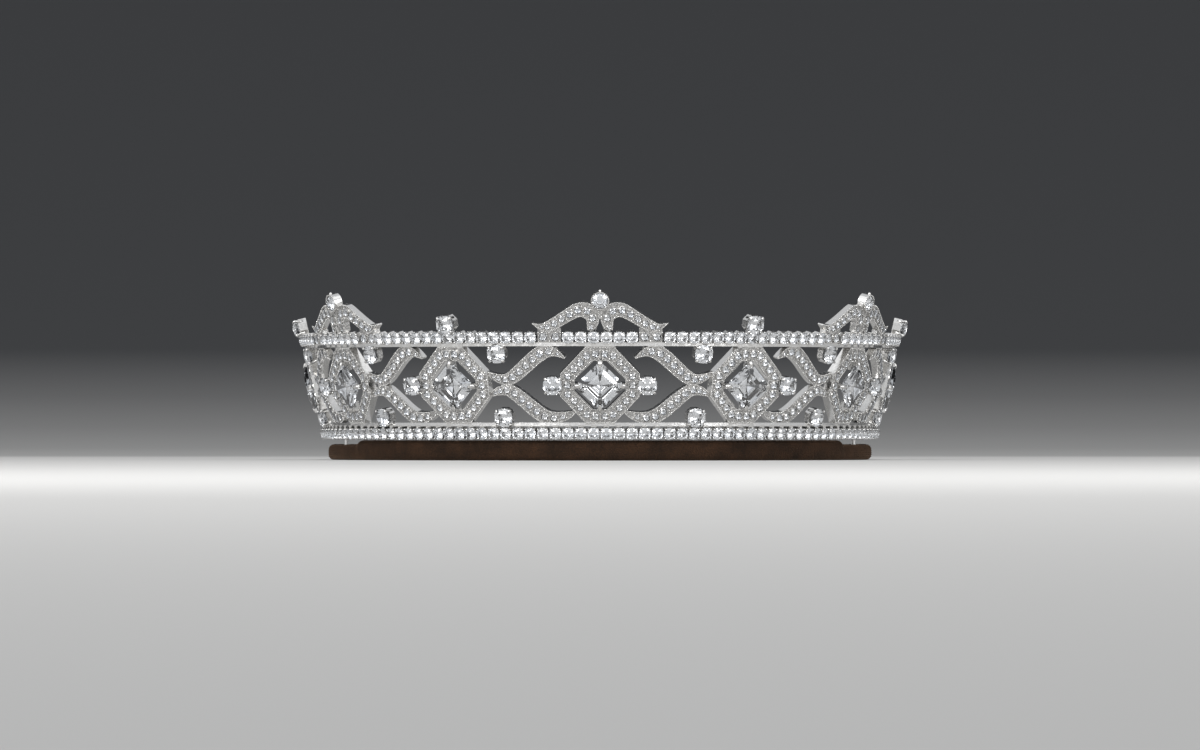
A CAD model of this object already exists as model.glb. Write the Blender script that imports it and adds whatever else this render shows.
import math
import random

import bmesh
import bpy
from mathutils import Matrix, Vector


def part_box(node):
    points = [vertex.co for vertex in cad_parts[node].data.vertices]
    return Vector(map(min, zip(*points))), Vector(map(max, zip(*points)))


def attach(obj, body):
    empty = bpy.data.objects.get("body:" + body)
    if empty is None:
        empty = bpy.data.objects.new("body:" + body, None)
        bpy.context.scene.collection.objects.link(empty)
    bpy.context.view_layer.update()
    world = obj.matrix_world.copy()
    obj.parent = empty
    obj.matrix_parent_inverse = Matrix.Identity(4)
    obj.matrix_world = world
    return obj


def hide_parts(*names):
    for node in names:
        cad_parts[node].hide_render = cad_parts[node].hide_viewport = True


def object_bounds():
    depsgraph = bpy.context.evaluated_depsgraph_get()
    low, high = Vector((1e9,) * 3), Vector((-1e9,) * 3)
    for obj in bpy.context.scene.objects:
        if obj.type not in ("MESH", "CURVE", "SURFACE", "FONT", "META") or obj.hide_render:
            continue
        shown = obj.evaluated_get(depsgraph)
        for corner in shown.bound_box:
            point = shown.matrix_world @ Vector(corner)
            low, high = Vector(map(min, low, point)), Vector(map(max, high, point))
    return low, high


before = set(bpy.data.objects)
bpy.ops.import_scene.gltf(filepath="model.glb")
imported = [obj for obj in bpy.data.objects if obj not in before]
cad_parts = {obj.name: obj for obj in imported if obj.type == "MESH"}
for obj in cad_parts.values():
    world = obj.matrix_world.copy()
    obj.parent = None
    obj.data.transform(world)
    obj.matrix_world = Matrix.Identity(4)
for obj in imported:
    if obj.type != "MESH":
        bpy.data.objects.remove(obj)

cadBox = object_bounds()
mm = 0.001
rng = random.Random(7)

# The leaning face that all settings stand on: places are given as an angle from the front,
# a way up the lean from its lower edge, and a height out of the face
lean = {
    "footR": 79.4 * mm, "footZ": 6.101 * mm, "flare": math.radians(13), "railHalfSpan": 97.6,
    "lowerRow": 1.7 * mm, "field": 4.55 * mm, "fieldH": 22 * mm,
    "middle": 15.55 * mm, "upperStrip": 26.55 * mm, "upperRow": 29.4 * mm, "railTop": 31.1 * mm,
}
bandReach = 79.25 * mm  # the velvet band's outermost radius, along its front
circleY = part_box("velvet_band")[0][1] + bandReach
octagonStep = 29.7
upperStep = 2.376
lowerStep = 2.56042


def leanR(up, out):
    return lean["footR"] + up * math.sin(lean["flare"]) + out * math.cos(lean["flare"])


def leanZ(up, out):
    return lean["footZ"] + up * math.cos(lean["flare"]) - out * math.sin(lean["flare"])


def leanPlace(angle, up, out):
    # X runs along the face, Y up it and Z out of it
    return (Matrix.Translation((0, circleY, 0)) @ Matrix.Rotation(math.radians(angle), 4, "Z")
            @ Matrix.Translation((0, -leanR(up, out), leanZ(up, out)))
            @ Matrix.Rotation(math.radians(90) + lean["flare"], 4, "X"))


def wallPlace(angle, up, x, y, out):
    # A point drawn on the flat at (angle, up), carried straight back to the curved wall
    s, c = math.sin(lean["flare"]), math.cos(lean["flare"])
    depth = out
    for _ in range(8):
        back = leanR(up, 0) + y * s + depth * c
        rise = leanZ(up, 0) + y * c - depth * s - lean["footZ"]
        past = math.hypot(x, back) - lean["footR"]
        depth += out - (past * c - rise * s)
    return leanPlace(angle + math.degrees(math.atan2(x, back)), past * s + rise * c, out)


# Colours are given as sRGB hex, and Blender wants them linear
def linearColour(hexText):
    parts = [int(hexText[i:i + 2], 16) / 255 for i in (1, 3, 5)]
    return [p / 12.92 if p <= 0.04045 else ((p + 0.055) / 1.055) ** 2.4 for p in parts] + [1]


def addNode(tree, kind, inputs=None, **settings):
    node = tree.nodes.new(kind)
    for key, value in settings.items():
        setattr(node, key, value)
    for key, value in (inputs or {}).items():
        if isinstance(value, bpy.types.NodeSocket):
            tree.links.new(value, node.inputs[key])
        else:
            node.inputs[key].default_value = value
    return node


def newMaterial(name):
    material = bpy.data.materials.new(name)
    material.use_nodes = True
    material.node_tree.nodes.clear()
    return material, material.node_tree


def closeMaterial(tree, shader):
    addNode(tree, "ShaderNodeOutputMaterial", {"Surface": shader.outputs[0]})


# Platinum, cast, filed and hand polished: almost white, with sharp reflections that fine
# polishing marks break up a little
platinum = {"colour": "#e4e3e1", "shade": "#c6c5c3", "roughness": (0.12, 0.3), "brightCut": (0.03, 0.08),
            "markSize": 0.7 * mm}


def makePlatinum(name, bump, finish="roughness"):
    material, tree = newMaterial(name)
    place = addNode(tree, "ShaderNodeTexCoord").outputs["Object"]
    marks = addNode(tree, "ShaderNodeTexNoise",
                    {"Vector": place, "Scale": 1 / platinum["markSize"], "Detail": 4})
    colour = addNode(tree, "ShaderNodeMix", {
        "Factor": marks.outputs["Fac"],
        6: linearColour(platinum["colour"]), 7: linearColour(platinum["shade"])}, data_type="RGBA")
    rough = addNode(tree, "ShaderNodeMapRange", {
        "Value": marks.outputs["Fac"], "From Min": 0.3, "From Max": 0.7,
        "To Min": platinum[finish][0], "To Max": platinum[finish][1]})
    dents = addNode(tree, "ShaderNodeBump", {
        "Height": marks.outputs["Fac"], "Distance": bump * mm, "Strength": 0.5})
    shader = addNode(tree, "ShaderNodeBsdfPrincipled", {
        "Base Color": colour.outputs[2], "Metallic": 1.0, "Roughness": rough.outputs[0],
        "Normal": dents.outputs[0]})
    closeMaterial(tree, shader)
    return material


# The same platinum where the graver has raised beads between the stones: the pierced field
# and the crests, with the crests' foot blocks, are pitted with grains on their faces, while the
# strips, the collets and all flanks are left polished
grained = {"grain": 0.5 * mm, "depth": 0.14 * mm, "reach": 45 * mm, "hollow": "#8a8988", "dusk": "#dbdad8",
           "block": (9.5, 2.4), "blockUp": 28 * mm, "faceFrom": 0.6}


def makeGrainedPlatinum(name):
    material, tree = newMaterial(name)
    place = addNode(tree, "ShaderNodeTexCoord").outputs["Object"]
    split = addNode(tree, "ShaderNodeSeparateXYZ", {"Vector": place})
    back = addNode(tree, "ShaderNodeMath", {0: split.outputs["Y"], 1: circleY}, operation="SUBTRACT")
    flat = addNode(tree, "ShaderNodeCombineXYZ", {"X": split.outputs["X"], "Y": back.outputs[0]})
    radius = addNode(tree, "ShaderNodeVectorMath", {0: flat.outputs[0]}, operation="LENGTH")
    # The way up the lean, as a share of the reach
    outPart = addNode(tree, "ShaderNodeMath", {
        0: radius.outputs["Value"], 1: math.sin(lean["flare"]) / grained["reach"],
        2: -lean["footR"] * math.sin(lean["flare"]) / grained["reach"]}, operation="MULTIPLY_ADD")
    upPart = addNode(tree, "ShaderNodeMath", {
        0: split.outputs["Z"], 1: math.cos(lean["flare"]) / grained["reach"],
        2: -lean["footZ"] * math.cos(lean["flare"]) / grained["reach"]}, operation="MULTIPLY_ADD")
    wayUp = addNode(tree, "ShaderNodeMath", {0: outPart.outputs[0], 1: upPart.outputs[0]}, operation="ADD")
    zones = addNode(tree, "ShaderNodeValToRGB", {"Fac": wayUp.outputs[0]})
    ramp = zones.color_ramp
    ramp.interpolation = "CONSTANT"
    ramp.elements[0].position = 0
    ramp.elements[0].color = (0, 0, 0, 1)
    ramp.elements[1].position = (lean["field"] + 0.1 * mm) / grained["reach"]
    ramp.elements[1].color = (1, 1, 1, 1)
    for way, share in ((lean["upperStrip"] - 0.1 * mm, 0), (lean["railTop"] + 0.1 * mm, 1)):
        stop = ramp.elements.new(way / grained["reach"])
        stop.color = (share, share, share, 1)
    # The foot blocks: a stretch of the row at each side of every second octagon's axis
    half = math.radians(octagonStep)
    ahead = addNode(tree, "ShaderNodeMath", {0: back.outputs[0], 1: -1.0}, operation="MULTIPLY")
    turned = addNode(tree, "ShaderNodeMath", {
        0: split.outputs["X"], 1: ahead.outputs[0]}, operation="ARCTAN2")
    shifted = addNode(tree, "ShaderNodeMath", {0: turned.outputs[0], 1: half}, operation="ADD")
    wrapped = addNode(tree, "ShaderNodeMath", {
        0: shifted.outputs[0], 1: 2 * half}, operation="FLOORED_MODULO")
    centred = addNode(tree, "ShaderNodeMath", {0: wrapped.outputs[0], 1: half}, operation="SUBTRACT")
    aside = addNode(tree, "ShaderNodeMath", {0: centred.outputs[0]}, operation="ABSOLUTE")
    beside = addNode(tree, "ShaderNodeMath", {
        0: aside.outputs[0], 1: math.radians(grained["block"][0]), 2: math.radians(grained["block"][1])},
        operation="COMPARE")
    high = addNode(tree, "ShaderNodeMath", {
        0: wayUp.outputs[0], 1: grained["blockUp"] / grained["reach"]}, operation="GREATER_THAN")
    block = addNode(tree, "ShaderNodeMath", {0: beside.outputs[0], 1: high.outputs[0]}, operation="MULTIPLY")
    area = addNode(tree, "ShaderNodeMath", {
        0: zones.outputs["Color"], 1: block.outputs[0]}, operation="MAXIMUM")
    # How squarely the surface faces out of the lean
    normal = addNode(tree, "ShaderNodeNewGeometry").outputs["True Normal"]
    outward = addNode(tree, "ShaderNodeVectorMath", {0: flat.outputs[0]}, operation="NORMALIZE")
    level = addNode(tree, "ShaderNodeVectorMath", {
        0: normal, 1: outward.outputs[0]}, operation="DOT_PRODUCT")
    upright = addNode(tree, "ShaderNodeSeparateXYZ", {"Vector": normal})
    drop = addNode(tree, "ShaderNodeMath", {
        0: upright.outputs["Z"], 1: -math.sin(lean["flare"])}, operation="MULTIPLY")
    square = addNode(tree, "ShaderNodeMath", {
        0: level.outputs["Value"], 1: math.cos(lean["flare"]), 2: drop.outputs[0]}, operation="MULTIPLY_ADD")
    face = addNode(tree, "ShaderNodeMath", {0: square.outputs[0], 1: grained["faceFrom"]},
                   operation="GREATER_THAN")
    pitted = addNode(tree, "ShaderNodeMath", {0: area.outputs[0], 1: face.outputs[0]}, operation="MULTIPLY")
    grains = addNode(tree, "ShaderNodeTexVoronoi", {"Vector": place, "Scale": 1 / grained["grain"]})
    hollow = addNode(tree, "ShaderNodeMath", {
        0: grains.outputs["Distance"], 1: pitted.outputs[0]}, operation="MULTIPLY")
    marks = addNode(tree, "ShaderNodeTexNoise",
                    {"Vector": place, "Scale": 1 / platinum["markSize"], "Detail": 4})
    plain = addNode(tree, "ShaderNodeMix", {
        "Factor": pitted.outputs[0],
        6: linearColour(platinum["colour"]), 7: linearColour(grained["dusk"])}, data_type="RGBA")
    colour = addNode(tree, "ShaderNodeMix", {
        "Factor": hollow.outputs[0],
        6: plain.outputs[2], 7: linearColour(grained["hollow"])}, data_type="RGBA")
    rough = addNode(tree, "ShaderNodeMapRange", {
        "Value": marks.outputs["Fac"], "From Min": 0.3, "From Max": 0.7,
        "To Min": platinum["roughness"][0], "To Max": platinum["roughness"][1]})
    sunk = addNode(tree, "ShaderNodeMath", {0: hollow.outputs[0], 1: -1.0}, operation="MULTIPLY")
    dents = addNode(tree, "ShaderNodeBump", {
        "Height": sunk.outputs[0], "Distance": grained["depth"], "Strength": 1.0})
    shader = addNode(tree, "ShaderNodeBsdfPrincipled", {
        "Base Color": colour.outputs[2], "Metallic": 1.0, "Roughness": rough.outputs[0],
        "Normal": dents.outputs[0]})
    closeMaterial(tree, shader)
    return material


# Diamond, cut and polished: clear, and so strongly refracting that each facet is bright or dark;
# a faint change of tint from stone to stone keeps them from looking alike
diamond = {"clear": "#ffffff", "cool": "#eef3fa", "ior": 2.417, "stoneSize": 5 * mm}


def makeDiamond(name):
    material, tree = newMaterial(name)
    place = addNode(tree, "ShaderNodeTexCoord").outputs["Object"]
    tints = addNode(tree, "ShaderNodeTexNoise",
                    {"Vector": place, "Scale": 1 / diamond["stoneSize"], "Detail": 0.0})
    colour = addNode(tree, "ShaderNodeMix", {
        "Factor": tints.outputs["Fac"],
        6: linearColour(diamond["clear"]), 7: linearColour(diamond["cool"])}, data_type="RGBA")
    shader = addNode(tree, "ShaderNodeBsdfPrincipled", {
        "Base Color": colour.outputs[2], "Roughness": 0.0, "IOR": diamond["ior"],
        "Transmission Weight": 1.0})
    closeMaterial(tree, shader)
    return material


polished = makePlatinum("platinumHandPolished", 0.02)
beadMetal = makePlatinum("platinumRaisedGrain", 0.0)
brightMetal = makePlatinum("platinumBrightCut", 0.0, "brightCut")
setMetal = makeGrainedPlatinum("platinumBeadSet")
gem = makeDiamond("diamondCut")
print("materials done")


# Small helpers for modelling
def onlySelect(piece):
    bpy.ops.object.select_all(action="DESELECT")
    piece.select_set(True)
    bpy.context.view_layer.objects.active = piece


def selectWhere(piece, test):
    # In edit mode: the vertices whose place passes the test, and the edges and faces between them
    bpy.ops.mesh.select_all(action="DESELECT")
    mesh = bmesh.from_edit_mesh(piece.data)
    for vert in mesh.verts:
        vert.select = test(vert.co)
    mesh.select_flush(True)
    bmesh.update_edit_mesh(piece.data)


def nameNew(name, material):
    piece = bpy.context.object
    piece.name = name
    piece.data.name = name
    piece.data.materials.clear()
    piece.data.materials.append(material)
    return piece


# One joined mesh with a copy of the model at each place: a turn, a size and a point apiece
def copyTo(name, model, places):
    points = bpy.data.meshes.new(name)
    points.from_pydata([matrix.translation for matrix, size in places], [], [])
    turns = points.attributes.new("turn", "QUATERNION", "POINT")
    turns.data.foreach_set("value", [v for matrix, size in places for v in matrix.to_quaternion()])
    sizes = points.attributes.new("size", "FLOAT", "POINT")
    sizes.data.foreach_set("value", [size for matrix, size in places])
    piece = bpy.data.objects.new(name, points)
    bpy.context.collection.objects.link(piece)
    tree = bpy.data.node_groups.new(name + "Copies", "GeometryNodeTree")
    tree.interface.new_socket("Geometry", in_out="INPUT", socket_type="NodeSocketGeometry")
    tree.interface.new_socket("Geometry", in_out="OUTPUT", socket_type="NodeSocketGeometry")
    spots = addNode(tree, "NodeGroupInput")
    source = addNode(tree, "GeometryNodeObjectInfo", {"Object": model})
    turn = addNode(tree, "GeometryNodeInputNamedAttribute", {"Name": "turn"}, data_type="QUATERNION")
    size = addNode(tree, "GeometryNodeInputNamedAttribute", {"Name": "size"}, data_type="FLOAT")
    copies = addNode(tree, "GeometryNodeInstanceOnPoints", {
        "Points": spots.outputs[0], "Instance": source.outputs["Geometry"],
        "Rotation": turn.outputs[0], "Scale": size.outputs[0]})
    whole = addNode(tree, "GeometryNodeRealizeInstances", {"Geometry": copies.outputs[0]})
    addNode(tree, "NodeGroupOutput", {0: whole.outputs[0]})
    onlySelect(piece)
    piece.modifiers.new("copies", "NODES").node_group = tree
    bpy.ops.object.modifier_apply(modifier="copies")
    bpy.data.node_groups.remove(tree)
    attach(piece, "root")
    return piece


def dropModel(*models):
    for model in models:
        bpy.data.objects.remove(model)


# A round or cushion brilliant: circles for the table, the crown, the girdle and the pavilion
# are wrapped in one convex hull. Heights and widths are shares of the girdle's radius
brilliant = {"table": 0.56, "crown": 0.32, "starRing": 0.8, "girdle": 0.035, "pavilion": 0.8,
             "halfRing": 0.3}


def cushionReach(angle, square):
    return (abs(math.cos(angle)) ** square + abs(math.sin(angle)) ** square) ** (-1 / square)


def cutBrilliant(name, radius, square, pavilion=brilliant["pavilion"]):
    half = math.cos(math.radians(22.5))
    star = brilliant["starRing"]
    low = brilliant["halfRing"]
    edge = brilliant["girdle"]
    starRise = edge + (brilliant["crown"] - edge) * (1 - star * half) / (1 - brilliant["table"])
    lowDrop = edge + (pavilion - edge) * (1 - low * half)
    turn = math.radians(22.5)
    rings = [(8, brilliant["table"], brilliant["crown"], 0), (8, star, starRise, turn),
             (16, 1, edge, 0), (16, 1, -edge, 0), (8, low, -lowDrop, turn), (8, 0.04, -pavilion, 0)]
    for i, (count, reach, rise, twist) in enumerate(rings):
        bpy.ops.mesh.primitive_circle_add(vertices=count, radius=radius * reach,
                                          location=(0, 0, radius * rise), rotation=(0, 0, twist))
        if i == 0:
            piece = nameNew(name, gem)
            bpy.ops.object.transform_apply(location=True, rotation=True, scale=True)
            bpy.ops.object.mode_set(mode="EDIT")
    mesh = bmesh.from_edit_mesh(piece.data)
    for v in mesh.verts:
        stretch = cushionReach(math.atan2(v.co.y, v.co.x), square)
        v.co.x *= stretch
        v.co.y *= stretch
    bmesh.update_edit_mesh(piece.data)
    bpy.ops.mesh.select_all(action="SELECT")
    bpy.ops.mesh.convex_hull(join_triangles=True, face_threshold=math.radians(0.6),
                             shape_threshold=math.radians(60))
    bpy.ops.mesh.normals_make_consistent(inside=False)
    bpy.ops.object.mode_set(mode="OBJECT")
    return piece


# A small rounded bead, for grains, beaded edges and claw tips. A foot is where its underside is cut
# flat, as a share of the radius
def roundBead(name, radius, tall, material, foot=None):
    bpy.ops.mesh.primitive_ico_sphere_add(subdivisions=2 if radius > 0.25 * mm else 1, radius=radius)
    piece = nameNew(name, material)
    piece.scale.z = tall
    bpy.ops.object.transform_apply(location=False, rotation=False, scale=True)
    if foot is not None:
        bpy.ops.object.mode_set(mode="EDIT")
        bpy.ops.mesh.select_all(action="SELECT")
        bpy.ops.mesh.bisect(plane_co=(0, 0, foot * radius), plane_no=(0, 0, 1), use_fill=True,
                            clear_inner=True)
        bpy.ops.object.mode_set(mode="OBJECT")
    bpy.ops.object.shade_smooth()
    return piece


# The two rows of stones on the rails, each stone in its collet with a claw at each corner
rowStones = {"radius": 1.65 * mm, "square": 2.6, "girdle": 1.088 * mm, "rowEnd": 0.6, "clawR": 0.33 * mm,
             "clawTall": 1.7, "clawSpot": 1.27 * mm, "clawRise": 1.0 * mm, "blocks": (3, 5),
             "twist": 6}


def rowAngles(step):
    count = math.floor((lean["railHalfSpan"] - rowStones["rowEnd"]) / step - 0.5)
    return [(i + 0.5) * step for i in range(-count - 1, count + 1)]


crestAngles = [-2 * octagonStep, 0, 2 * octagonStep]


def underBlock(angle):
    inner, outer = (n * upperStep for n in rowStones["blocks"])
    return any(inner < abs(angle - crest) < outer for crest in crestAngles)


upperAngles = [a for a in rowAngles(upperStep) if not underBlock(a)]
lowerAngles = rowAngles(lowerStep)
rowStone = cutBrilliant("rowStone", rowStones["radius"], rowStones["square"])
clawTip = roundBead("clawTip", rowStones["clawR"], rowStones["clawTall"], polished)
clawSpots = []
for name, angles, up in (("upper", upperAngles, lean["upperRow"]), ("lower", lowerAngles, lean["lowerRow"])):
    places = []
    for angle in angles:
        turn = Matrix.Rotation(math.radians(rng.uniform(-rowStones["twist"], rowStones["twist"])), 4, "Z")
        places.append((leanPlace(angle, up, rowStones["girdle"]) @ turn, 1))
        for x in (-1, 1):
            for y in (-1, 1):
                spot = Vector((x, y, 0)) * rowStones["clawSpot"]
                clawSpots.append((leanPlace(angle, up, rowStones["clawRise"]) @ Matrix.Translation(spot), 1))
    stones = copyTo(name + "RowBrilliants", rowStone, places)
    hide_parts(name + "_row_stones")
claws = copyTo("rowClaws", clawTip, clawSpots)
dropModel(rowStone, clawTip)
print("row stones done")


# The single stones, and the small round ones in the crests
singles = {"radius": 2.6 * mm, "square": 3.2, "lift": 1.25 * mm, "railTopLift": 1.75 * mm,
           "crestRadius": 2.15 * mm, "crestGirdle": 0.9 * mm, "crestRise": 8.8 * mm, "collet": 2.45 * mm,
           "solder": 0.25 * mm, "stripTie": 0.6 * mm, "hanging": 5.004, "standing": 4.5,
           "octagonHalf": 11.2 * mm, "plateOut": 0.2 * mm}
besideReach = singles["octagonHalf"] + singles["collet"] - singles["solder"]
hangingUp = lean["upperStrip"] - singles["collet"] + singles["stripTie"]
standingUp = lean["field"] + singles["collet"] - singles["stripTie"]
railTopUp = lean["railTop"] + singles["collet"] - singles["solder"]
crestUp = lean["railTop"] + singles["crestRise"]
bayAngles = [(i + 0.5) * octagonStep for i in range(3)]
counted = ["first", "second", "third"]
singleSpots = []
for sideName, side in (("left", -1), ("right", 1)):
    for i in range(3):
        beside = (leanPlace(side * i * octagonStep, lean["middle"], singles["plateOut"])
                  @ Matrix.Translation((side * besideReach, 0, singles["lift"] - singles["plateOut"])))
        hanging = leanPlace(side * (bayAngles[i] + singles["hanging"]), hangingUp, singles["lift"])
        standing = leanPlace(side * (bayAngles[i] + singles["standing"]), standingUp, singles["lift"])
        for kind, place in (("beside", beside), ("hanging", hanging), ("standing", standing)):
            singleSpots.append((kind, sideName, counted[i], place))
    for i in (0, 2):
        place = leanPlace(side * (i + 1) * octagonStep, railTopUp, singles["railTopLift"])
        singleSpots.append(("rail_top", sideName, counted[i], place))
singleStone = cutBrilliant("singleStone", singles["radius"], singles["square"])
for kind, sideName, number, place in singleSpots:
    label = kind.replace("rail_top", "railTop") + "Brilliant" + sideName.title() + number.title()
    stone = copyTo(label, singleStone, [(place, 1)])
    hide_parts(f"{kind}_stone_{sideName}_{number}")
crestStone = cutBrilliant("crestStone", singles["crestRadius"], 2)
for place, angle in zip(("left", "centre", "right"), crestAngles):
    spot = leanPlace(angle, crestUp, singles["crestGirdle"])
    stone = copyTo("crestBrilliant" + place.title(), crestStone, [(spot, 1)])
    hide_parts("crest_stone_" + place)
dropModel(singleStone, crestStone)


# A claw is drawn out of a small ring: it rises past the collet, leans out round the stone's
# corner and closes over its crown. The path's rows are way out, height and radius in millimetres
singleClaws = {"sides": 7, "path": [
    (2.3, -2.6, 0.42), (2.5, -1.4, 0.42), (2.88, -0.3, 0.4), (2.9, 0.15, 0.38), (2.7, 0.48, 0.34),
    (2.45, 0.6, 0.2)]}


def drawClaw(name, path, sides, material):
    x, z, r = path[0]
    bpy.ops.mesh.primitive_circle_add(vertices=sides, radius=r * mm, fill_type="NGON",
                                      location=(x * mm, 0, z * mm))
    piece = nameNew(name, material)
    bpy.ops.object.transform_apply(location=True, rotation=False, scale=False)
    bpy.ops.object.mode_set(mode="EDIT")
    bpy.ops.mesh.select_all(action="SELECT")
    for (x0, z0, r0), (x1, z1, r1) in zip(path, path[1:]):
        step = ((x1 - x0) * mm, 0, (z1 - z0) * mm)
        bpy.ops.mesh.extrude_region_move(TRANSFORM_OT_translate={"value": step})
        share = r1 / r0
        bpy.ops.transform.resize(value=(share, share, share), center_override=(x1 * mm, 0, z1 * mm))
    bpy.ops.mesh.select_all(action="SELECT")
    bpy.ops.mesh.normals_make_consistent(inside=False)
    bpy.ops.object.mode_set(mode="OBJECT")
    bpy.ops.object.shade_smooth()
    return piece


claw = drawClaw("singleClaw", singleClaws["path"], singleClaws["sides"], polished)
places = []
for kind, sideName, number, place in singleSpots:
    for quarter in range(4):
        places.append((place @ Matrix.Rotation(math.radians(45 + 90 * quarter), 4, "Z"), 1))
claws = copyTo("singleStoneClaws", claw, places)
dropModel(claw)
print("single stones done")


# The step-cut stones: square with cut corners, each drawn out of its table ring by ring, with two
# steps above the girdle and four below, so steep that they throw the light back. The rings are
# share of the reach and height in millimetres
stepCut = {"reach": 6.16, "edge": 1.052, "lift": 1.2 * mm, "rings": [
    (0.6, 1.4), (0.83, 0.84), (1, 0.11), (1, -0.12),
    (0.82, -0.95), (0.6, -1.9), (0.36, -2.85), (0.05, -3.9)]}


def cutStepStone(name):
    bpy.ops.mesh.primitive_circle_add(vertices=8, radius=mm, fill_type="NGON")
    piece = nameNew(name, gem)
    bpy.ops.object.mode_set(mode="EDIT")
    mesh = bmesh.from_edit_mesh(piece.data)
    reach, edge = stepCut["reach"], stepCut["edge"]
    corners = [(reach, edge), (edge, reach), (-edge, reach), (-reach, edge),
               (-reach, -edge), (-edge, -reach), (edge, -reach), (reach, -edge)]
    (share, height), steps = stepCut["rings"][0], stepCut["rings"][1:]
    for vert, (x, y) in zip(mesh.verts, corners):
        vert.co = Vector((x * share, y * share, height)) * mm
    bmesh.update_edit_mesh(piece.data)
    bpy.ops.mesh.select_all(action="SELECT")
    for nextShare, nextHeight in steps:
        rise = (0, 0, (nextHeight - height) * mm)
        bpy.ops.mesh.extrude_region_move(TRANSFORM_OT_translate={"value": rise})
        bpy.ops.transform.resize(value=(nextShare / share, nextShare / share, 1), center_override=(0, 0, 0))
        share, height = nextShare, nextHeight
    bpy.ops.mesh.select_all(action="SELECT")
    bpy.ops.mesh.normals_make_consistent(inside=False)
    bpy.ops.object.mode_set(mode="OBJECT")
    return piece


stepStone = cutStepStone("stepStone")
for i in range(-3, 4):
    place = "centre" if i == 0 else ("left_" if i < 0 else "right_") + counted[abs(i) - 1]
    stone = copyTo("stepCut" + place.title().replace("_", ""), stepStone,
                   [(leanPlace(i * octagonStep, lean["middle"], stepCut["lift"]), 1)])
    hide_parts("step_cut_stone_" + place)
dropModel(stepStone)

# Each cut corner gets a claw that folds over it
stepClaws = {"sides": 8, "plateOut": 0.2 * mm, "path": [
    (7.1, 0.6, 0.62), (6.8, 1.5, 0.6), (6.45, 1.86, 0.55), (5.95, 2.0, 0.5), (5.6, 1.96, 0.3)]}
claw = drawClaw("stepClaw", stepClaws["path"], stepClaws["sides"], polished)
places = []
for i in range(-3, 4):
    for quarter in range(4):
        places.append((leanPlace(i * octagonStep, lean["middle"], stepClaws["plateOut"])
                       @ Matrix.Rotation(math.radians(90 * quarter), 4, "Z"), 1))
claws = copyTo("stepCutClaws", claw, places)
dropModel(claw)


# Small stones, raised grains and beaded edges on the octagons, the scrolls and the crests
pave = {
    "octagonCount": 22, "octagonStoneR": 1.05 * mm, "sizeSpread": (0.96, 1.03),
    "octagonGrains": ((0.88 * mm, 1), (1.5 * mm, 0.75)), "plateDepth": 2.3 * mm,
    "ribbonStoneR": 1.08 * mm, "ribbonShare": 0.72, "ribbonRoom": 0.4 * mm, "smallestR": 0.42 * mm,
    "gap": 0.12 * mm, "edgeRoom": 0.32 * mm, "ribbonGrains": ((0.55, 1), (0.98, 0.7)),
    "fullRoom": 0.9 * mm, "ribbonDepth": 1.8 * mm,
    "lift": 0.34 * mm, "pavilion": 0.2, "backShare": 0.72, "backLift": 0.12 * mm,
    "grainR": 0.27 * mm, "grainTall": 1.2, "beadR": 0.19 * mm, "beadTall": 1.1, "foot": -0.35,
    "beadStep": 0.4 * mm, "beadInset": 0.16 * mm,
    "octagonBand": 4.05 * mm, "octagonTop": 8.2 * mm, "octagonSide": 6.6 * mm,
}
paveStones, paveCups, backStones, grains, edgeBeads = [], [], [], [], []


def pathLengths(line, closed):
    ends = line[1:] + line[:1] if closed else line[1:]
    return [(b - a).length for a, b in zip(line, ends)]


def alongPath(line, way, closed=False):
    # The point and the direction at a way along a line
    lengths = pathLengths(line, closed)
    if closed:
        way %= sum(lengths)
    for i, length in enumerate(lengths):
        if way <= length or i == len(lengths) - 1:
            a, b = line[i], line[(i + 1) % len(line)]
            return a.lerp(b, min(way / length, 1)), (b - a).normalized()
        way -= length


def octagonLine(inset):
    # The octagon's outline, moved inwards
    w, h = singles["octagonHalf"], lean["fieldH"] / 2
    top, side = pave["octagonTop"] / 2, pave["octagonSide"] / 2
    corners = [Vector(p) for p in ((w, side), (top, h), (-top, h), (-w, side),
                                   (-w, -side), (-top, -h), (top, -h), (w, -side))]
    moved = []
    for i, corner in enumerate(corners):
        a = (corner - corners[i - 1]).normalized()
        b = (corners[(i + 1) % 8] - corner).normalized()
        inA, inB = Vector((-a.y, a.x)), Vector((-b.y, b.x))
        moved.append(corner + (inA + inB) * inset / (1 + inA.dot(inB)))
    return moved


middleLine = octagonLine(pave["octagonBand"] / 2)
# It starts over the middle of the top
middleLine = [Vector((0, middleLine[1].y))] + middleLine[2:] + middleLine[:2]
perimeter = sum(pathLengths(middleLine, True))
for i in range(-3, 4):
    plate = leanPlace(i * octagonStep, lean["middle"], stepClaws["plateOut"])
    for k in range(pave["octagonCount"]):
        share = perimeter / pave["octagonCount"]
        spot, way = alongPath(middleLine, (k + 0.5) * share, True)
        turn = Matrix.Rotation(rng.uniform(0, 1), 4, "Z")
        size = rng.uniform(*pave["sizeSpread"]) * pave["octagonStoneR"]
        place = plate @ Matrix.Translation((*spot, pave["lift"])) @ turn
        paveStones.append((place, size / mm, pave["plateDepth"]))
        spot, way = alongPath(middleLine, k * share, True)
        aside = Vector((-way.y, way.x))
        for edge in (-1, 1):
            for off, size in pave["octagonGrains"]:
                grains.append((plate @ Matrix.Translation((*(spot + aside * edge * off), 0)), size))
    for inset in (pave["beadInset"], pave["octagonBand"] - pave["beadInset"]):
        line = octagonLine(inset)
        whole = sum(pathLengths(line, True))
        count = round(whole / pave["beadStep"])
        for k in range(count):
            spot, way = alongPath(line, k * whole / count, True)
            edgeBeads.append((plate @ Matrix.Translation((*spot, 0)), 1))


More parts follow.
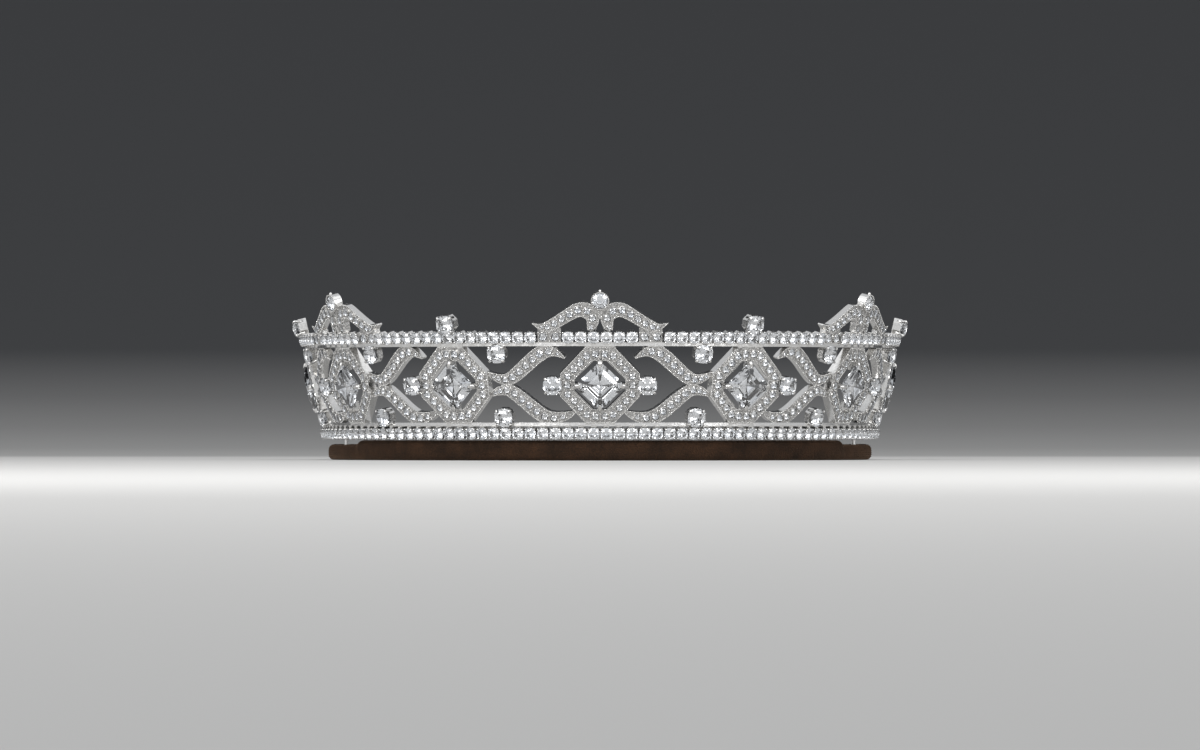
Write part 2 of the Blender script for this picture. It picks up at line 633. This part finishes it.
# A ribbon of metal drawn as rows of along, up and width, made smooth between them
def smoothRows(rows, steps=5):
    line = []
    rows = [Vector(row) for row in rows]
    for i in range(len(rows) - 1):
        a, b, c, d = rows[max(i - 1, 0)], rows[i], rows[i + 1], rows[min(i + 2, len(rows) - 1)]
        for k in range(steps):
            t = k / steps
            line.append(b + (c - a) * t / 2 + (2 * a - 5 * b + 4 * c - d) * t * t / 2
                        + (3 * b - a - 3 * c + d) * t * t * t / 2)
    return line + [rows[-1]]


def dressRibbon(rows, put, first, last):
    # Stones down the middle, grains at their sides, and a beaded edge on both sides
    line = smoothRows(rows)
    middle = [Vector(p[:2]) for p in line]
    lengths = pathLengths(middle, False)
    whole = sum(lengths)

    def widthAt(way):
        for i, length in enumerate(lengths):
            if way <= length:
                return line[i].lerp(line[i + 1], way / length)[2]
            way -= length
        return line[-1][2]

    way = first * whole
    while way < last * whole:
        r = min((widthAt(way) / 2 - pave["edgeRoom"]) * pave["ribbonShare"], pave["ribbonStoneR"])
        if r >= pave["smallestR"]:
            spot, direction = alongPath(middle, way)
            turn = Matrix.Rotation(rng.uniform(0, 1), 4, "Z")
            paveStones.append((put(spot, pave["lift"]) @ turn, r / mm, pave["ribbonDepth"]))
            aside = Vector((-direction.y, direction.x))
            between, direction = alongPath(middle, way + r + pave["gap"])
            room = widthAt(way + r) / 2 - pave["edgeRoom"]
            for edge in (-1, 1):
                for off, size in pave["ribbonGrains"]:
                    place = put(between + aside * edge * room * off, 0)
                    grains.append((place, size * min(1, room / pave["fullRoom"])))
        way += 2 * max(r, pave["smallestR"]) + pave["gap"] + pave["ribbonRoom"]
    for side in (-1, 1):
        edge = []
        for i, point in enumerate(middle):
            direction = (middle[min(i + 1, len(middle) - 1)] - middle[max(i - 1, 0)]).normalized()
            off = side * (line[i][2] / 2 - pave["beadInset"])
            edge.append(point + off * Vector((-direction.y, direction.x)))
        count = round(sum(pathLengths(edge, False)) / pave["beadStep"])
        for k in range(count + 1):
            spot, direction = alongPath(edge, k * sum(pathLengths(edge, False)) / count)
            edgeBeads.append((put(spot, 0), 1))


# The scroll pairs, with their lines as in the solids: shares of half the gap, half the field and the width
scrolls = {
    "width": 4.2 * mm, "stretch": (0.1, 0.93),
    "rows": [(-1.08, 0.33, 0.15), (-0.88, 0.227, 0.43), (-0.7, 0.159, 0.64), (-0.5, 0.14, 0.8),
             (-0.3, 0.218, 0.93), (0.02, 0.464, 1), (0.32, 0.71, 1.02), (0.57, 0.855, 1)],
    "upperTip": [(0.8, 0.865, 0.72), (0.97, 0.8, 0.43), (1.14, 0.69, 0.13)],
    "lowerTip": [(0.82, 0.87, 0.8), (1.04, 0.84, 0.64), (1.22, 0.78, 0.42), (1.35, 0.7, 0.1)],
}
halfStep = math.radians(octagonStep / 2)
halfGap = leanR(lean["middle"], 0) * math.sin(halfStep) - singles["octagonHalf"] * math.cos(halfStep)
for side in (-1, 1):
    for bay in bayAngles:
        for up, tip in ((1, "upperTip"), (-1, "lowerTip")):
            shares = scrolls["rows"] + scrolls[tip]
            rows = [(a * halfGap, up * b * lean["fieldH"] / 2, w * scrolls["width"]) for a, b, w in shares]

            def putScroll(spot, out, side=side, bay=bay):
                return wallPlace(side * bay, lean["middle"], -side * spot.x, spot.y, out)
            dressRibbon(rows, putScroll, *scrolls["stretch"])

# The crests' curls, and the blocks that they stand on
crests = {
    "reach": 19 * mm, "rise": 7.7 * mm, "width": 3.5 * mm, "out": 0.2 * mm, "stretch": (0.12, 0.97),
    "blockColumns": (3.12, 4, 4.88), "blockRows": ((-1.25 * mm, 1), (0, 0.8), (1.25 * mm, 1)),
    "blockStones": (3.5, 4.5), "blockStoneR": 1.25,
    "rows": [(1, 0.22, 0.11), (0.895, 0.117, 0.46), (0.784, 0.117, 0.86), (0.653, 0.286, 0.97),
             (0.484, 0.56, 1.03), (0.33, 0.77, 1.16), (0.205, 0.765, 1.27), (0.128, 0.62, 1.28),
             (0.107, 0.4, 1.04), (0.125, 0.2, 0.84), (0.16, 0.02, 0.36)],
}
for crest in crestAngles:
    for side in (-1, 1):
        rows = [(a * crests["reach"], b * crests["rise"], w * crests["width"]) for a, b, w in crests["rows"]]

        def putCrest(spot, out, side=side, crest=crest):
            return wallPlace(crest, lean["railTop"], side * spot.x, spot.y, crests["out"] + out)
        dressRibbon(rows, putCrest, *crests["stretch"])
        for n in crests["blockColumns"]:
            for up, size in crests["blockRows"]:
                place = leanPlace(crest + side * n * upperStep, lean["upperRow"] + up, crests["out"])
                grains.append((place, size))
        for n in crests["blockStones"]:
            place = leanPlace(crest + side * n * upperStep, lean["upperRow"], crests["out"] + pave["lift"])
            paveStones.append((place, crests["blockStoneR"], pave["ribbonDepth"]))

# The crests' round stones: a beaded rim round each bezel and a small nub on its top
bezels = {"rimR": 2.4 * mm, "rimOut": 1.1 * mm, "beads": 26, "beadSize": 1.15,
          "nub": (2.75 * mm, 0.4 * mm, 1.6)}
for crest in crestAngles:
    rim = leanPlace(crest, crestUp, bezels["rimOut"])
    for k in range(bezels["beads"]):
        turn = 2 * math.pi * k / bezels["beads"]
        spot = Vector((math.cos(turn), math.sin(turn), 0)) * bezels["rimR"]
        edgeBeads.append((rim @ Matrix.Translation(spot), bezels["beadSize"]))
    up, out, size = bezels["nub"]
    grains.append((leanPlace(crest, crestUp + up, out), size))

# Each small stone lies in a bright-cut seat, a shallow cup with a thin raised lip that is drawn out of
# a circle, and the back of its setting is opened in the same way and a little smaller
seatCup = {"sides": 14, "foot": 1.17, "rings": [(1.1, 0.3), (1.0, 0.33), (0.85, 0.1)]}


def cutSeat(name):
    bpy.ops.mesh.primitive_circle_add(vertices=seatCup["sides"], radius=seatCup["foot"] * mm)
    piece = nameNew(name, brightMetal)
    bpy.ops.object.mode_set(mode="EDIT")
    bpy.ops.mesh.select_all(action="SELECT")
    reach, rise = seatCup["foot"], 0
    for wide, high in seatCup["rings"]:
        step = (0, 0, (high - rise) * mm)
        bpy.ops.mesh.extrude_region_move(TRANSFORM_OT_translate={"value": step})
        bpy.ops.transform.resize(value=(wide / reach, wide / reach, 1), center_override=(0, 0, 0))
        reach, rise = wide, high
    bpy.ops.mesh.edge_face_add()
    bpy.ops.mesh.select_all(action="SELECT")
    bpy.ops.mesh.normals_make_consistent(inside=False)
    bpy.ops.object.mode_set(mode="OBJECT")
    return piece


for place, size, depth in paveStones:
    paveCups.append((place @ Matrix.Translation((0, 0, -pave["lift"])), size))
    back = place @ Matrix.Translation((0, 0, -pave["lift"] - depth)) @ Matrix.Rotation(math.pi, 4, "X")
    paveCups.append((back, size * pave["backShare"]))
    backStones.append((back @ Matrix.Translation((0, 0, pave["backLift"])), size * pave["backShare"]))
cup = cutSeat("seatCup")
seats = copyTo("brightCutSeats", cup, paveCups)
paveStone = cutBrilliant("paveStone", mm, 2, pave["pavilion"])
grain = roundBead("grain", pave["grainR"], pave["grainTall"], beadMetal, pave["foot"])
bead = roundBead("bead", pave["beadR"], pave["beadTall"], beadMetal, pave["foot"])
small = copyTo("paveBrilliants", paveStone, [spot[:2] for spot in paveStones])
small = copyTo("paveBacks", paveStone, backStones)
grainPiece = copyTo("raisedGrains", grain, grains)
edgePiece = copyTo("beadedEdges", bead, edgeBeads)
dropModel(paveStone, grain, bead, cup)
print("small stones", len(paveStones), "grains", len(grains), "edge beads", len(edgeBeads))


# The openwork's solid stays, with its own material
def dressNode(name, material):
    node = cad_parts[name]
    for slot in node.material_slots:
        slot.material = material


dressNode("openwork", setMetal)


# The velvet band: velvet drawn tight over a stiff core, spun round the circle from a rounded
# section. Its front stretch is taller, and the cover puckers on the inside towards the ends. A
# pucker is an angle, a width in degrees and a depth
velvetBand = {
    "middleR": 76.9 * mm, "wall": 4.4 * mm, "sideH": 4.4 * mm, "frontH": 5.7 * mm, "halfSpan": 124.5,
    "frontHalfSpan": 62, "swell": 0.15 * mm, "sectionPoints": 24, "square": 3.4, "steps": 500,
    "ripple": 0.12 * mm, "pucker": 0.3 * mm, "puckers": ((107, 9, 1), (121, 3, 0.7)), "puckerRate": 95,
    "roundEnd": 6, "stepReach": 0.6, "waves": (0.21, 0.53, 1.13, 2.3),
}
# Cotton velvet, woven and brushed: a deep brown that turns pale and dusty where the pile is seen
# edge on
velvet = {"deep": "#1b120b", "worn": "#3a2719", "sheen": "#856a53", "pile": 0.35 * mm, "patch": 6 * mm,
          "tuft": 0.25 * mm}


def makeVelvet(name):
    material, tree = newMaterial(name)
    place = addNode(tree, "ShaderNodeTexCoord").outputs["Object"]
    patches = addNode(tree, "ShaderNodeTexNoise", {
        "Vector": place, "Scale": 1 / velvet["patch"], "Detail": 3})
    tufted = addNode(tree, "ShaderNodeTexNoise", {
        "Vector": place, "Scale": 1 / velvet["pile"], "Detail": 2})
    both = addNode(tree, "ShaderNodeMath", {
        0: patches.outputs["Fac"], 1: tufted.outputs["Fac"]}, operation="MULTIPLY")
    spread = addNode(tree, "ShaderNodeMapRange", {
        "Value": both.outputs[0], "From Min": 0.12, "From Max": 0.42})
    colour = addNode(tree, "ShaderNodeMix", {
        "Factor": spread.outputs[0],
        6: linearColour(velvet["deep"]), 7: linearColour(velvet["worn"])}, data_type="RGBA")
    tufts = addNode(tree, "ShaderNodeBump", {
        "Height": tufted.outputs["Fac"], "Distance": velvet["tuft"], "Strength": 0.9})
    shader = addNode(tree, "ShaderNodeBsdfPrincipled", {
        "Base Color": colour.outputs[2], "Roughness": 0.95, "Specular IOR Level": 0.2, "Sheen Weight": 0.6,
        "Sheen Roughness": 0.35, "Sheen Tint": linearColour(velvet["sheen"]), "Normal": tufts.outputs[0]})
    closeMaterial(tree, shader)
    return material


def makeVelvetBand():
    v = velvetBand
    endAngle = math.degrees(v["wall"] / 2 / v["middleR"])
    bpy.ops.mesh.primitive_circle_add(vertices=v["sectionPoints"], radius=1, location=(0, -v["middleR"], 0),
                                      rotation=(math.radians(90), 0, math.radians(90)))
    piece = nameNew("velvetBandCover", makeVelvet("velvetBrown"))
    bpy.ops.object.transform_apply(location=True, rotation=True, scale=True)
    bpy.ops.object.mode_set(mode="EDIT")
    mesh = bmesh.from_edit_mesh(piece.data)
    start = math.radians(v["halfSpan"] + endAngle)
    for i, vert in enumerate(mesh.verts):  # a rounded square, a millimetre to each side
        turn = 2 * math.pi * (i + 0.5) / v["sectionPoints"]
        reach = cushionReach(turn, v["square"]) * mm
        r = v["middleR"] + math.cos(turn) * reach
        vert.co = (r * math.sin(start), -r * math.cos(start), math.sin(turn) * reach)
    bmesh.update_edit_mesh(piece.data)
    bpy.ops.mesh.select_all(action="SELECT")
    bpy.ops.mesh.spin(steps=v["steps"], angle=2 * start, center=(0, 0, 0), axis=(0, 0, 1))
    bpy.ops.mesh.select_all(action="SELECT")
    bpy.ops.mesh.fill_holes(sides=0)
    bpy.ops.mesh.normals_make_consistent(inside=False)
    bpy.ops.object.mode_set(mode="OBJECT")
    bpy.ops.object.shade_smooth()
    return piece, endAngle


def noiseAt(angle, seed):
    # Slow, uneven waves along the band
    waves = enumerate(velvetBand["waves"], 1)
    return sum(math.sin(angle * rate + seed * k * 1.7) / k for k, rate in waves) / 2


def shapeVelvetBand(piece, endAngle):
    v = velvetBand
    roundEnd = v["roundEnd"]  # degrees of the spun roll that are drawn together into each round end
    straight = v["halfSpan"] + endAngle - roundEnd
    for vert in piece.data.vertices:
        across = (math.hypot(vert.co.x, vert.co.y) - v["middleR"]) / mm
        high = vert.co.z / mm
        spun = math.degrees(math.atan2(vert.co.x, -vert.co.y))
        share = min(max((abs(spun) - straight) / roundEnd, 0), 0.99) * math.pi / 2
        along = min(abs(spun), straight) * v["halfSpan"] / straight + endAngle * math.sin(share)
        angle = math.copysign(along, spun)
        narrow = math.cos(share)
        front = v["frontHalfSpan"] + v["stepReach"] - abs(angle)
        front = min(max(front / (2 * v["stepReach"]), 0), 1)
        front = front * front * (3 - 2 * front)
        halfWall = v["wall"] / 2 + front * v["swell"]
        height = v["sideH"] + front * (v["frontH"] - v["sideH"])
        wave = noiseAt(angle, 1 if across > 0 else 2)
        folds = sum(deep * math.exp(-((abs(angle) - at) / wide) ** 2) for at, wide, deep in v["puckers"])
        ridge = math.sin(math.radians(angle) * v["puckerRate"] + 2 * high)
        fold = max(-across, 0) * folds * ridge * v["pucker"]
        out = across * (halfWall - v["ripple"] * (0.5 + 0.5 * wave)) * narrow + fold * narrow
        press = 0.3 * v["ripple"] * (1 + wave) * (high > 0)
        rise = height / 2 + high * (height / 2 - press) * (0.4 + 0.6 * narrow)
        way = math.radians(angle)
        r = v["middleR"] + out
        vert.co = (r * math.sin(way), circleY - r * math.cos(way), rise)


band, endAngle = makeVelvetBand()
shapeVelvetBand(band, endAngle)
print("velvet", len(band.data.vertices))
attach(band, "root")
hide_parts("velvet_band")

# The pile itself: short fibres that stand on the cover and lean a little, all one way with some stray
pile = {"count": 10000, "sides": 3, "path": [(0, -0.06, 0.05), (0.02, 0.12, 0.045), (0.08, 0.28, 0.012)],
        "sizes": (0.6, 1.0), "lean": 0.35, "stray": 0.3, "above": 0.5 * mm}


def makePile(cover):
    fibre = drawClaw("fibre", pile["path"], pile["sides"], cover.data.materials[0])
    # The spin numbers its faces anew in each run, so they are put in the order of their corners
    faces = sorted((face for face in cover.data.polygons if face.center.z > pile["above"]),
                   key=lambda face: sorted(face.vertices))
    places = []
    for _ in range(pile["count"]):
        face = faces[rng.randrange(len(faces))]
        drift = Vector((rng.gauss(0, 1), rng.gauss(0, 1), rng.gauss(0, 1))) * pile["stray"]
        way = (face.normal + Vector((0, 0, -pile["lean"])) + drift).normalized()
        size = rng.uniform(*pile["sizes"])
        turn = way.to_track_quat("Z", "Y").to_matrix().to_4x4()
        places.append((Matrix.Translation(face.center) @ turn, size))
    fibres = copyTo("velvetPile", fibre, places)
    dropModel(fibre)


makePile(band)


# Stage: a pale floor that sweeps up behind, soft lights, and the camera
stage = {"floor": "#bdbcba", "backdrop": "#2f3032", "fade": (0.2, 0.8), "halfWidth": 3.0, "back": 2.4,
         "wallH": 2.5, "bend": 2.0, "bendSteps": 32, "fibre": 400, "fibreDepth": 0.02 * mm}


def makeStage():
    bpy.ops.mesh.primitive_plane_add(size=2, location=(0, 0, 0))
    floor = bpy.context.object
    floor.name = "studioFloor"
    floor.scale = (stage["halfWidth"], stage["back"], 1)
    bpy.ops.object.transform_apply(scale=True)
    bpy.ops.object.mode_set(mode="EDIT")
    selectWhere(floor, lambda place: place.y > 0)
    bpy.ops.mesh.extrude_region_move(TRANSFORM_OT_translate={"value": (0, 0, stage["wallH"])})
    selectWhere(floor, lambda place: place.y > 0 and place.z < 0.01)
    bpy.ops.mesh.bevel(offset=stage["bend"], segments=stage["bendSteps"], affect="EDGES")
    bpy.ops.object.mode_set(mode="OBJECT")
    bpy.ops.object.shade_smooth()
    material, tree = newMaterial("paperPale")
    place = addNode(tree, "ShaderNodeTexCoord").outputs["Object"]
    fibre = addNode(tree, "ShaderNodeTexNoise", {"Vector": place, "Scale": stage["fibre"], "Detail": 2})
    bump = addNode(tree, "ShaderNodeBump", {
        "Height": fibre.outputs["Fac"], "Distance": stage["fibreDepth"], "Strength": 0.3})
    split = addNode(tree, "ShaderNodeSeparateXYZ", {"Vector": place})
    behind = addNode(tree, "ShaderNodeMapRange", {
        "Value": split.outputs["Y"], "From Min": stage["fade"][0], "From Max": stage["fade"][1]})
    colour = addNode(tree, "ShaderNodeMix", {
        "Factor": behind.outputs[0],
        6: linearColour(stage["floor"]), 7: linearColour(stage["backdrop"])}, data_type="RGBA")
    shader = addNode(tree, "ShaderNodeBsdfPrincipled", {
        "Base Color": colour.outputs[2], "Roughness": 0.8, "Normal": bump.outputs[0]})
    closeMaterial(tree, shader)
    floor.data.materials.append(material)


def addSoftbox(name, place, aim, width, height, power):
    bpy.ops.object.light_add(type="AREA", location=place)
    lamp = bpy.context.object
    lamp.name = name
    lamp.data.shape = "RECTANGLE"
    lamp.data.size = width
    lamp.data.size_y = height
    lamp.data.energy = power
    lamp.rotation_euler = (Vector(aim) - Vector(place)).to_track_quat("-Z", "Y").to_euler()


# Place, aim, width, height and watts
softboxes = {
    "leftSoftbox": ((-1.0, -1.3, 0.8), (0, 0, 0.02), 0.9, 0.9, 14),
    "rightSoftbox": ((1.1, -1.2, 0.6), (0, 0, 0.02), 0.6, 0.9, 9),
    "topSoftbox": ((0, -1.1, 1.7), (0, -1.0, 0), 2.6, 2.2, 11),
    "leftSpark": ((-0.45, -1.1, 0.3), (0, 0, 0.03), 0.06, 0.06, 1.6),
    "rightSpark": ((0.3, -1.0, 0.5), (0, 0, 0.03), 0.06, 0.06, 1.6),
}
room = {"colour": "#dfe1e4", "strength": 0.85}
makeStage()
for name, values in softboxes.items():
    addSoftbox(name, *values)
world = bpy.data.worlds.new("studioRoom")
bpy.context.scene.world = world
world.use_nodes = True
air = world.node_tree.nodes["Background"]
air.inputs["Color"].default_value = linearColour(room["colour"])
air.inputs["Strength"].default_value = room["strength"]

camera = {"away": 2.2, "frameWidth": 336 * mm, "sensor": 36, "height": 8 * mm, "aim": 24 * mm}
frontY = cadBox[0][1]
tilt = math.atan2(camera["aim"] - camera["height"], camera["away"])
bpy.ops.object.camera_add(location=(0, frontY - camera["away"], camera["height"]),
                          rotation=(math.radians(90) + tilt, 0, 0))
eye = bpy.context.object
eye.data.sensor_width = camera["sensor"]
eye.data.lens = camera["sensor"] * camera["away"] / camera["frameWidth"]
eye.data.clip_start = 0.01
bpy.context.scene.camera = eye
bpy.context.scene.view_settings.view_transform = "Standard"
print("stage done")
